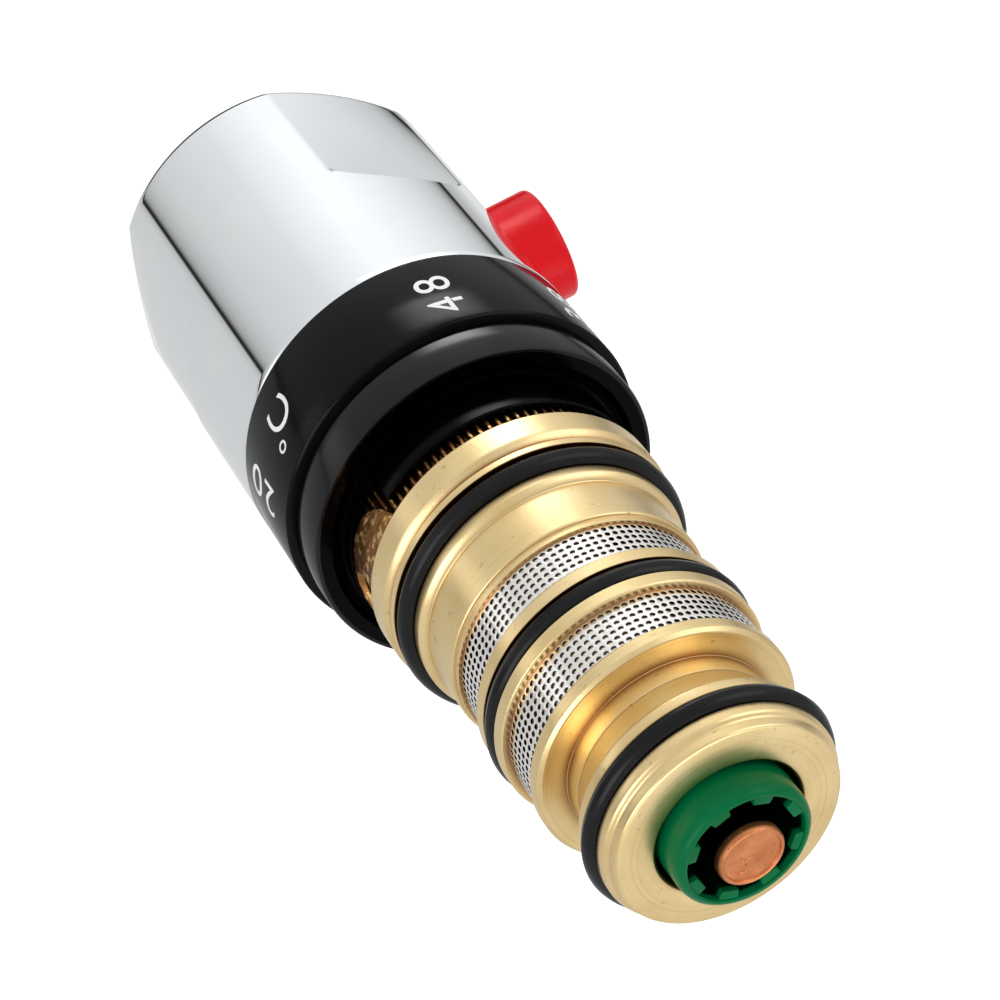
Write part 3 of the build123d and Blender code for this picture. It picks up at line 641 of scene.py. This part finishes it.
def makeFigure(glyph, height, turn):
    clearPick()
    bpy.ops.object.text_add()
    figure = bpy.context.object
    figure.data.body = glyph
    figure.data.size = 1
    figure.data.resolution_u = 8
    bpy.ops.object.convert(target="MESH")
    figure = bpy.context.object
    across = [vertex.co.x for vertex in figure.data.vertices]
    tall = [vertex.co.y for vertex in figure.data.vertices]
    middleX, middleY = (max(across) + min(across)) / 2, (max(tall) + min(tall)) / 2
    size = scaleRing["figureHeight"] * mm / (max(tall) - min(tall))
    for vertex in figure.data.vertices:
        vertex.co = ((vertex.co.x - middleX) * size * scaleRing["stretch"], (vertex.co.y - middleY) * size, 0)
    return finishFigure(figure, height, turn)


def finishFigure(figure, height, turn):
    sliceFlat(figure, scaleRing["slice"] * mm, scaleRing["sliceReach"] * mm)
    wrapOnRing(figure, height, turn)
    printed = figure.modifiers.new("printed", "SOLIDIFY")
    printed.thickness = scaleRing["rise"] * mm
    printed.offset = 1
    recalculate(figure)
    applyAll(figure)
    return figure


def makeDegree(height, turn, outer, inner):
    ring = turnPiece([(inner, 0), (outer, 0)], steps=40, closed=False, edge=0)
    return finishFigure(ring, height, turn)


figures = [makeFigure(glyph, height, turn) for glyph, height, turn in scaleRing["figures"]]
figures.append(makeDegree(*scaleRing["degree"]))
dress(joinPieces(figures), "scaleFiguresWhite", "handle", whitePaint)
print("stage: scale ring and figures made")

# stop collar: stepped mouth, sleeve over the gland's teeth with a gap for the lug, skirt and end stop
collar = {
    "gapStart": -62, "gapEnd": 4, "gapLow": 74.3, "gapHigh": 80, "gapReach": 40,
    "stopStart": 31, "stopEnd": 93, "edgeRound": 0.06,
    "outline": ((19.25, 66.6), (20.1, 66.6), (20.1, 56.6), (22.3, 56.6), (22.3, 66.6), (24.2, 66.6), (24.5, 66.9),
                (24.5, 72.65), (24.3, 73.0), (22.15, 73.0), (21.85, 72.7), (21.7, 71.2), (20.9, 70.9),
                (20.55, 72.2), (20.25, 72.2), (20.2, 78.7), (20.0, 79.0), (19.4, 79.0), (19.25, 78.85)),
    "stopOutline": ((18.6, 52.6), (22.3, 52.6), (22.3, 56.8), (18.6, 56.8)),
    "wedgeReach": 60, "wedgeHeights": (50, 60), "wedgeTurns": (152, 212, 272, 332), "wedgeOverlap": 2,
}
stopCollar = turnPiece(collar["outline"], steps=256, edge=0)
cutAway(stopCollar, [wedgeCutter(collar["gapStart"], collar["gapEnd"], collar["gapLow"], collar["gapHigh"],
                                collar["gapReach"])])
# the end stop is what five overlapping wedges leave of a ring
endStop = turnPiece(collar["stopOutline"], steps=256, edge=0)
wedgeStarts = [collar["stopEnd"]] + [turn - collar["wedgeOverlap"] for turn in collar["wedgeTurns"]]
wedgeEnds = [*collar["wedgeTurns"], 360 + collar["stopStart"]]
cutAway(endStop, [wedgeCutter(start, end, *collar["wedgeHeights"], collar["wedgeReach"])
                  for start, end in zip(wedgeStarts, wedgeEnds)])
stopCollar = joinPieces([stopCollar, endStop])
addBevel(stopCollar, collar["edgeRound"], 2, 35)
smoothBy(stopCollar)
dress(stopCollar, "stopCollarBlack", "cartridge", collarPlastic, ["stop_collar"])
print("stage: stop collar turned")

# splined gland: toothed drum, nose and plug, with the cast lug and its locating hole
gland = {
    "teeth": 90, "tip": 19.2, "depth": 0.6, "lugStart": -60, "lugEnd": 2, "lugLow": 74.8, "lugHigh": 82.15,
    "lugCorner": 21, "lugInner": 16.5, "lugOuter": 20.2, "lugCuts": 23, "sideRound": 0.9, "lowRound": 0.7,
    "endNarrowing": 0.10, "hole": (-18, 78.5, 2.4), "holeMouth": 1.6, "castRough": 0.18,
    "outline": ((4.08, 58.8), (7.2, 58.8), (7.5, 59.1), (7.5, 78.2), (15, 78.2), (15, 67.2), (19.2, 67.2),
                (19.2, 70), (19.2, 82.2), (13, 82.2), (13, 92.2), (4.08, 92.2)),
}
glandDrum = turnPiece(gland["outline"], steps=360, edge=0)
toothTurn = 360 // gland["teeth"]
for vertex in glandDrum.data.vertices:
    if vertex.co.xy.length > (gland["tip"] - 0.1) * mm:
        if round(degrees(atan2(vertex.co.y, vertex.co.x))) % toothTurn < toothTurn / 2:
            vertex.co.xy *= (gland["tip"] - gland["depth"]) / gland["tip"]


def makeLug():
    clearPick()
    bpy.ops.mesh.primitive_cube_add(size=1)
    lug = bpy.context.object
    bpy.ops.object.mode_set(mode="EDIT")
    bpy.ops.mesh.subdivide(number_cuts=gland["lugCuts"])
    bpy.ops.object.mode_set(mode="OBJECT")
    start, end, high = gland["lugStart"], gland["lugEnd"], gland["lugHigh"]
    for vertex in lug.data.vertices:
        # -1 to 1: round the valve, outwards and up the valve
        u, v, w = (2 * part for part in vertex.co)
        narrower = 1 - gland["endNarrowing"] * max(abs(w) - 0.8, 0) / 0.2
        away = gland["lugInner"] + (gland["lugOuter"] - gland["lugInner"]) * (v + 1) / 2
        away -= gland["sideRound"] * max((abs(u) - 0.9) / 0.1, 0) ** 2
        away -= gland["lowRound"] * max((-w - 0.85) / 0.15, 0) ** 2
        angle = (start + end) / 2 + (end - start) / 2 * u * narrower
        corner = min(max(start + gland["lugCorner"] - angle, 0) / gland["lugCorner"], 0.995)
        low = high - (high - gland["lugLow"]) * sqrt(1 - corner ** 2)
        height = (low + high) / 2 + (high - low) / 2 * w
        place = outward(angle) * away * mm + Vector((0, 0, height * mm))
        bumpy = noise.noise(place * 900) * 0.6 + noise.noise(place * 2300) * 0.4
        vertex.co = place - outward(angle) * (0.5 + bumpy) * gland["castRough"] * mm
    recalculate(lug)
    return lug


azimuth, height, radius = gland["hole"]
lugHole = sideCutter(azimuth, height, [(radius, 13), (radius, 19.35), (radius + gland["holeMouth"], 21.5)])
lug = cutAway(makeLug(), [lugHole])
glandBody = joinPieces([glandDrum, lug])
smoothBy(glandBody, 35)
dress(glandBody, "splinedGlandBrass", "cartridge", castBrass, ["splined_gland"])
print("stage: gland and lug made")

# cartridge body: turned flanges, seal grooves, strainer seats and the ports under the strainers
cartridge = {
    "ports": 3, "portAngle": 50, "firstPort": -28, "portReach": 18.5, "edgeRound": 0.1,
    "portHeights": ((102.2, 106.4), (117.0, 120.6)),
    "outline": ((13.05, 82.2), (20.5, 82.2), (20.8, 82.5), (20.8, 86.3), (20.5, 86.8), (19.8, 87.3), (20.4, 87.8),
                (20.4, 88.8), (17.75, 88.8), (17.75, 91.8), (18.9, 91.8), (18.9, 93.1), (18.5, 93.6), (17.9, 93.9),
                (17.9, 100.7), (17.7, 100.9), (17.5, 100.9), (17.5, 101.9), (16.68, 101.9), (16.68, 108.4),
                (17.9, 108.4), (18.1, 108.6), (18.1, 110.5), (15.75, 110.5), (15.75, 113.5), (18.1, 113.5),
                (18.1, 115.3), (17.9, 115.5), (16.68, 115.5), (16.68, 122.0), (17.3, 122.0), (17.5, 122.2),
                (17.5, 123.8), (17.0, 124.3), (13.6, 124.3), (13.6, 127.0), (12.0, 127.0), (12.0, 92.2),
                (13.05, 92.2)),
}
cartridgeBody = turnPiece(cartridge["outline"], steps=240, edge=0)
portCutters = []
for low, high in cartridge["portHeights"]:
    for port in range(cartridge["ports"]):
        middle = cartridge["firstPort"] + port * 360 / cartridge["ports"]
        half = cartridge["portAngle"] / 2
        portCutters.append(wedgeCutter(middle - half, middle + half, low, high, cartridge["portReach"]))
cutAway(cartridgeBody, portCutters)
addBevel(cartridgeBody, cartridge["edgeRound"], 2)
smoothBy(cartridgeBody)
dress(cartridgeBody, "cartridgeBodyBrass", "cartridge", brass, ["cartridge_body"])

# end cap: seal groove and the raised disc round the insert
endCap = {
    "outline": ((9.64, 123.0), (11.95, 123.0), (11.95, 127.0), (13.6, 127.0), (13.6, 131.0), (15.3, 131.0),
                (15.7, 131.4), (15.7, 132.9), (14.05, 132.9), (14.05, 135.9), (15.7, 135.9), (15.7, 137.0),
                (15.6, 137.35), (15.4, 137.55), (15.12, 137.7), (14.98, 137.9), (14.92, 138.3), (14.9, 138.8),
                (14.82, 139.08), (14.6, 139.2), (9.95, 139.2), (9.64, 138.9)),
}
dress(turnPiece(endCap["outline"], steps=224), "endCapBrass", "cartridge", brass, ["end_cap"])
print("stage: brass turned")


# strainers: thin sheet with round holes in a square grid, between two plain bands
strainer = {
    "radius": 17.0, "sheet": 0.3, "around": 101, "rows": 6, "hole": 0.37, "length": 6.5, "pitch": 1.06,
    "dish": 0.025, "bandInner": 16.69, "bandOuter": 16.98,
    "pieces": (("strainerUpperSteel", "strainer_upper", 101.9), ("strainerLowerSteel", "strainer_lower", 115.5)),
}


def holeTile():
    # one square of the sheet with its hole, the hole's edge drawn in a little
    clearPick()
    bpy.ops.mesh.primitive_circle_add(vertices=16, radius=strainer["hole"] * mm)
    tile = bpy.context.object
    bpy.ops.object.mode_set(mode="EDIT")
    bpy.ops.mesh.select_all(action="SELECT")
    for away in (1.35, 2.0):
        bpy.ops.mesh.extrude_edges_move()
        bpy.ops.transform.resize(value=(away, away, 1), center_override=(0, 0, 0))
    bpy.ops.object.mode_set(mode="OBJECT")
    pitch = strainer["pitch"] * mm
    for vertex in tile.data.vertices:
        far = vertex.co.length
        if far > strainer["hole"] * mm * 2:
            x, y = vertex.co.x, vertex.co.y
            square = pitch / 2 / max(abs(x), abs(y))
            vertex.co = (x * square, y * square, 0)
        elif far < strainer["hole"] * mm * 1.1:
            vertex.co.z = -strainer["dish"] * mm
    for vertex in tile.data.vertices:
        if max(abs(vertex.co.x), abs(vertex.co.y)) > pitch * 0.49:
            vertex.co.x = round(vertex.co.x / (pitch / 4)) * pitch / 4
            vertex.co.y = round(vertex.co.y / (pitch / 4)) * pitch / 4
    return tile


def repeatTile(tile, name, count, offset):
    row = tile.modifiers.new(name, "ARRAY")
    row.count = count
    row.use_relative_offset = False
    row.use_constant_offset = True
    row.constant_offset_displace = offset
    row.use_merge_vertices = True
    row.merge_threshold = 0.00002
    applyAll(tile)


def makeStrainer(name, nodeName, start):
    tile = holeTile()
    pitch = strainer["pitch"] * mm
    repeatTile(tile, "up", strainer["rows"], (0, pitch, 0))
    repeatTile(tile, "round", strainer["around"], (pitch, 0, 0))
    rim = (strainer["length"] - strainer["rows"] * strainer["pitch"]) / 2
    for vertex in tile.data.vertices:
        angle = 2 * pi * vertex.co.x / pitch / strainer["around"]
        away = strainer["radius"] * mm + vertex.co.z
        vertex.co = (away * cos(angle), away * sin(angle), vertex.co.y + pitch / 2 + (start + rim) * mm)
    recalculate(tile, 0.00003)
    wall = tile.modifiers.new("wall", "SOLIDIFY")
    wall.thickness = strainer["sheet"] * mm
    wall.offset = -1
    applyAll(tile)
    smoothBy(tile, 40)
    bands = []
    inner, outer = strainer["bandInner"], strainer["bandOuter"]
    for low in (start, start + strainer["length"] - rim):
        bands.append(turnPiece([(inner, low), (outer, low), (outer, low + rim), (inner, low + rim)],
                               steps=strainer["around"] * 2, edge=0))
    dress(joinPieces([tile] + bands), name, "cartridge", strainerSteel, [nodeName])


for strainerPiece in strainer["pieces"]:
    makeStrainer(*strainerPiece)
print("stage: strainers perforated")


# rubber rings with the fine parting line that their mould leaves; a piece has its outer radius and height
seals = {
    "section": 1.35, "flash": 0.045, "sides": 32,
    "pieces": (("sealUpperRubber", "o_ring_upper", 20.45, 90.3), ("sealMiddleRubber", "o_ring_middle", 18.45, 112.0),
               ("sealEndRubber", "o_ring_end", 16.75, 134.4)),
}


def makeSeal(name, nodeName, outer, height):
    outline = []
    section, sides = seals["section"], seals["sides"]
    for step in range(sides):
        angle = 2 * pi * step / sides
        flash = seals["flash"] if step in (0, sides // 2) else 0.0
        outline.append((outer - section + (section + flash) * cos(angle), height + section * sin(angle)))
    seal = turnPiece(outline, steps=200, edge=0)
    smoothBy(seal, 50)
    dress(seal, name, "cartridge", rubber, [nodeName])


for sealPiece in seals["pieces"]:
    makeSeal(*sealPiece)
print("stage: seals made")

# green insert: sleeve with a rounded lip and eight inner teeth
insert = {
    "teeth": 8, "turn": 2, "root": 8.2, "tip": 6.45, "rootWidth": 3.1, "tipWidth": 2.25, "front": 143.05,
    "toothLength": 7.5, "toothRound": 0.16,
    "outline": ((7.75, 127.0), (9.59, 127.0), (9.59, 130.0), (9.0, 130.0), (8.95, 141.4), (8.9, 142.2),
                (8.72, 142.8), (8.4, 143.15), (8.1, 143.3), (7.9, 143.28), (7.76, 143.2), (7.7, 143.05)),
}
sleeve = turnPiece(insert["outline"], steps=160, edge=0)


def makeTooth(azimuth):
    clearPick()
    bpy.ops.mesh.primitive_cube_add(size=1)
    tooth = bpy.context.object
    for vertex in tooth.data.vertices:
        x, y, z = vertex.co
        atTip = x < 0
        away = insert["tip"] if atTip else insert["root"]
        wide = insert["tipWidth"] if atTip else insert["rootWidth"]
        vertex.co = (away * mm, y * wide * mm, (insert["front"] + (z - 0.5) * insert["toothLength"]) * mm)
    addBevel(tooth, insert["toothRound"], 3)
    tooth.data.transform(Matrix.Rotation(radians(azimuth), 4, "Z"))
    return tooth


teeth = [makeTooth(insert["turn"] + 360 * tooth / insert["teeth"]) for tooth in range(insert["teeth"])]
greenInsert = joinPieces([sleeve] + teeth)
smoothBy(greenInsert, 35)
dress(greenInsert, "greenInsertPlastic", "cartridge", greenPlastic, ["green_insert"])

# wax element: copper body, collar and the face with its two punch marks (x, y and radius)
element = {
    "marks": ((0.54, -0.2, 0.42), (2.23, 1.25, 0.42)), "markHeight": 144.62,
    "outline": ((0.001, 109.05), (1.55, 109.05), (1.55, 107.0), (4.05, 107.0), (4.05, 110.75), (6.5, 110.75),
                (6.5, 112.75), (4.05, 112.75), (4.05, 142.7), (4.3, 143.0), (4.34, 143.9), (4.3, 144.3),
                (4.12, 144.6), (3.9, 144.7), (3.72, 144.64), (3.62, 144.42), (0.001, 144.42)),
}
waxElement = turnPiece(element["outline"], steps=96, closed=False, edge=0)
marks = []
for x, y, size in element["marks"]:
    clearPick()
    bpy.ops.mesh.primitive_uv_sphere_add(segments=24, ring_count=12, radius=size * mm,
                                         location=(x * mm, y * mm, element["markHeight"] * mm))
    bpy.ops.object.transform_apply(location=True, rotation=True, scale=True)
    marks.append(bpy.context.object)
cutAway(waxElement, marks)
smoothBy(waxElement, 35)
dress(waxElement, "waxElementCopper", "element", copper, ["wax_element"])
print("stage: insert and element made")

# camera, floor and light; a softbox has its place, its size and its power
stage = {
    "lens": 100.88, "world": 0.62, "above": 0.74, "floorGlow": 0.5, "aim": (0, 0, 0.07),
    "below": (0.02, 0.02, 0.022), "belowFrom": 0.93, "belowFull": 0.95,
    "softboxes": (("keySoftbox", (0.7, -0.5, 0.7), 0.6, 3.0), ("fillSoftbox", (-0.8, -0.3, 0.5), 0.6, 1.6),
                  ("topSoftbox", (0.0, 0.3, 1.0), 0.5, 1.5)),
    "camera": ((-0.7943, -0.6075, 0.0, -0.00184), (0.4324, -0.5654, -0.7025, -0.26018),
               (0.4267, -0.5580, 0.7117, 0.33713), (0, 0, 0, 1)),
}
# brightness of the studio round the valve, by azimuth from the scale's middle; dark values are narrow flags
studio = ((-180, 0.70), (-168, 0.76), (-148, 0.80), (-131, 0.52), (-126, 0.48), (-124.4, 0.02), (-122, 0.02),
          (-120, 0.26), (-115, 0.50), (-110, 0.62), (-96, 0.78), (-84, 0.88), (-70, 0.98), (-50, 1.10), (-36, 1.10),
          (-24, 1.01), (-10, 0.91), (0, 0.82), (24, 0.73), (40, 0.68), (50, 0.60), (57, 0.48), (61.2, 0.32),
          (62.6, 0.01), (64.6, 0.01), (66, 0.52), (70, 0.64), (84, 0.67), (150, 0.68), (166, 0.80), (180, 0.70))
# strips that only the turned brass and the black rings can mirror: azimuth from the scale's middle, half width
# in degrees, lowest and highest point and distance in millimetres, added brightness
cards = {"brassCardRight": (44, 17, 17, 110, 75, 0.62), "brassCardLeft": (-40, 20, 17, 110, 75, 0.12),
         "blackCard": (-40, 26, 1, 24, 76, 7.5)}


def placeCamera():
    camera = bpy.data.cameras.new("viewCamera")
    camera.lens = stage["lens"]
    camera.sensor_width = 36
    camera.clip_start = 0.02
    holder = bpy.data.objects.new("viewCamera", camera)
    bpy.context.scene.collection.objects.link(holder)
    holder.matrix_world = Matrix(stage["camera"])
    bpy.context.scene.camera = holder


def addSoftbox(name, place, size, power):
    lamp = bpy.data.lights.new(name, "AREA")
    lamp.shape = "RECTANGLE"
    lamp.size = lamp.size_y = size
    lamp.energy = power
    holder = bpy.data.objects.new(name, lamp)
    holder.location = place
    holder.rotation_euler = (Vector(stage["aim"]) - Vector(place)).to_track_quat("-Z", "Y").to_euler()
    bpy.context.scene.collection.objects.link(holder)


def makeFloor():
    clearPick()
    bpy.ops.mesh.primitive_plane_add(size=6)
    floor = bpy.context.object
    floor.name = "paleFloor"
    material, tree, shader = newMaterial("paleFloorPaper")
    setInputs(shader, Roughness=0.9, Emission_Color=(1, 1, 1, 1))
    grain = noiseOf(tree, objectPoint(tree), 60, detail=3.0)
    paper = rampOf(tree, grain, ((0.3, (0.84, 0.84, 0.85)), (0.7, (0.88, 0.88, 0.89))))
    rays = addNode(tree, "ShaderNodeLightPath").outputs
    seen = mathOf(tree, "MAXIMUM", rays["Is Camera Ray"], rays["Is Glossy Ray"])
    seen = mathOf(tree, "MAXIMUM", seen, rays["Is Transmission Ray"])
    glow = mathOf(tree, "MULTIPLY", seen, stage["floorGlow"])
    linkInputs(tree, shader, Base_Color=paper, Emission_Strength=glow)
    floor.data.materials.append(material)
    floor.visible_glossy = False


def makeWorld():
    # white to the camera; metal and gloss see the studio's softboxes and flags, which go round the valve
    world = bpy.data.worlds.new("paleStudio")
    bpy.context.scene.world = world
    world.use_nodes = True
    tree = world.node_tree
    x, y, z = splitPoint(tree, addNode(tree, "ShaderNodeTexCoord").outputs["Generated"])
    around = mathOf(tree, "MULTIPLY_ADD", turnedFromScale(tree, x, y), 1 / (2 * pi), 0.5)
    walls = rampOf(tree, around, [((azimuth + 180) / 360, (level * 0.985, level, level * 1.01))
                                  for azimuth, level in studio])
    upward = rampOf(tree, z, ((0.0, black), (0.25, white)))
    seenStudio = mixColour(tree, upward, walls, (stage["above"],) * 3)
    # dark table top straight below, which draws the line round the handle's end
    downward = mathOf(tree, "MULTIPLY", z, -1.0)
    below = rampOf(tree, downward, ((stage["belowFrom"], black), (stage["belowFull"], white)))
    seenStudio = mixColour(tree, below, seenStudio, stage["below"])
    rays = addNode(tree, "ShaderNodeLightPath").outputs
    plainWhite = mathOf(tree, "MAXIMUM", rays["Is Camera Ray"], rays["Is Transmission Ray"])
    level = mathOf(tree, "MULTIPLY_ADD", plainWhite, 1.0 - stage["world"], stage["world"])
    plain = addNode(tree, "ShaderNodeCombineColor")
    for socket in plain.inputs:
        tree.links.new(level, socket)
    linkInputs(tree, tree.nodes["Background"],
               Color=mixColour(tree, rays["Is Glossy Ray"], plain.outputs["Color"], seenStudio))


def makeCard(name, middle, half, low, high, distance, power):
    clearPick()
    bpy.ops.mesh.primitive_grid_add(x_subdivisions=24, y_subdivisions=1, size=1)
    card = bpy.context.object
    card.name = name
    for vertex in card.data.vertices:
        angle = radians(middle + 2 * half * vertex.co.x)
        vertex.co = (distance * mm * sin(angle), -distance * mm * cos(angle),
                     (low + (high - low) * (vertex.co.y + 0.5)) * mm)
    material, tree, shader = newMaterial(name)
    # brightest at its middle, faded out to both sides, and clear
    x, y, z = splitPoint(tree, objectPoint(tree))
    off = mathOf(tree, "SUBTRACT", turnedFromScale(tree, x, y), radians(middle))
    share = mathOf(tree, "DIVIDE", mathOf(tree, "ABSOLUTE", off), radians(half))
    fade = rampOf(tree, share, ((0.1, white), (1.0, black)))
    fade.node.color_ramp.interpolation = "EASE"
    glow = addNode(tree, "ShaderNodeEmission")
    linkInputs(tree, glow, Strength=mathOf(tree, "MULTIPLY", fade, power))
    both = addNode(tree, "ShaderNodeAddShader")
    tree.links.new(glow.outputs[0], both.inputs[0])
    tree.links.new(addNode(tree, "ShaderNodeBsdfTransparent").outputs[0], both.inputs[1])
    tree.nodes.remove(shader)
    surface = [node for node in tree.nodes if node.bl_idname == "ShaderNodeOutputMaterial"][0]
    tree.links.new(both.outputs[0], surface.inputs["Surface"])
    card.data.materials.append(material)
    card.visible_camera = card.visible_diffuse = card.visible_shadow = card.visible_transmission = False


placeCamera()
makeFloor()
for cardName, card in cards.items():
    makeCard(cardName, *card)
makeWorld()
for softbox in stage["softboxes"]:
    addSoftbox(*softbox)
bpy.context.scene.view_settings.view_transform = "Standard"
print("stage: camera, floor and light placed")
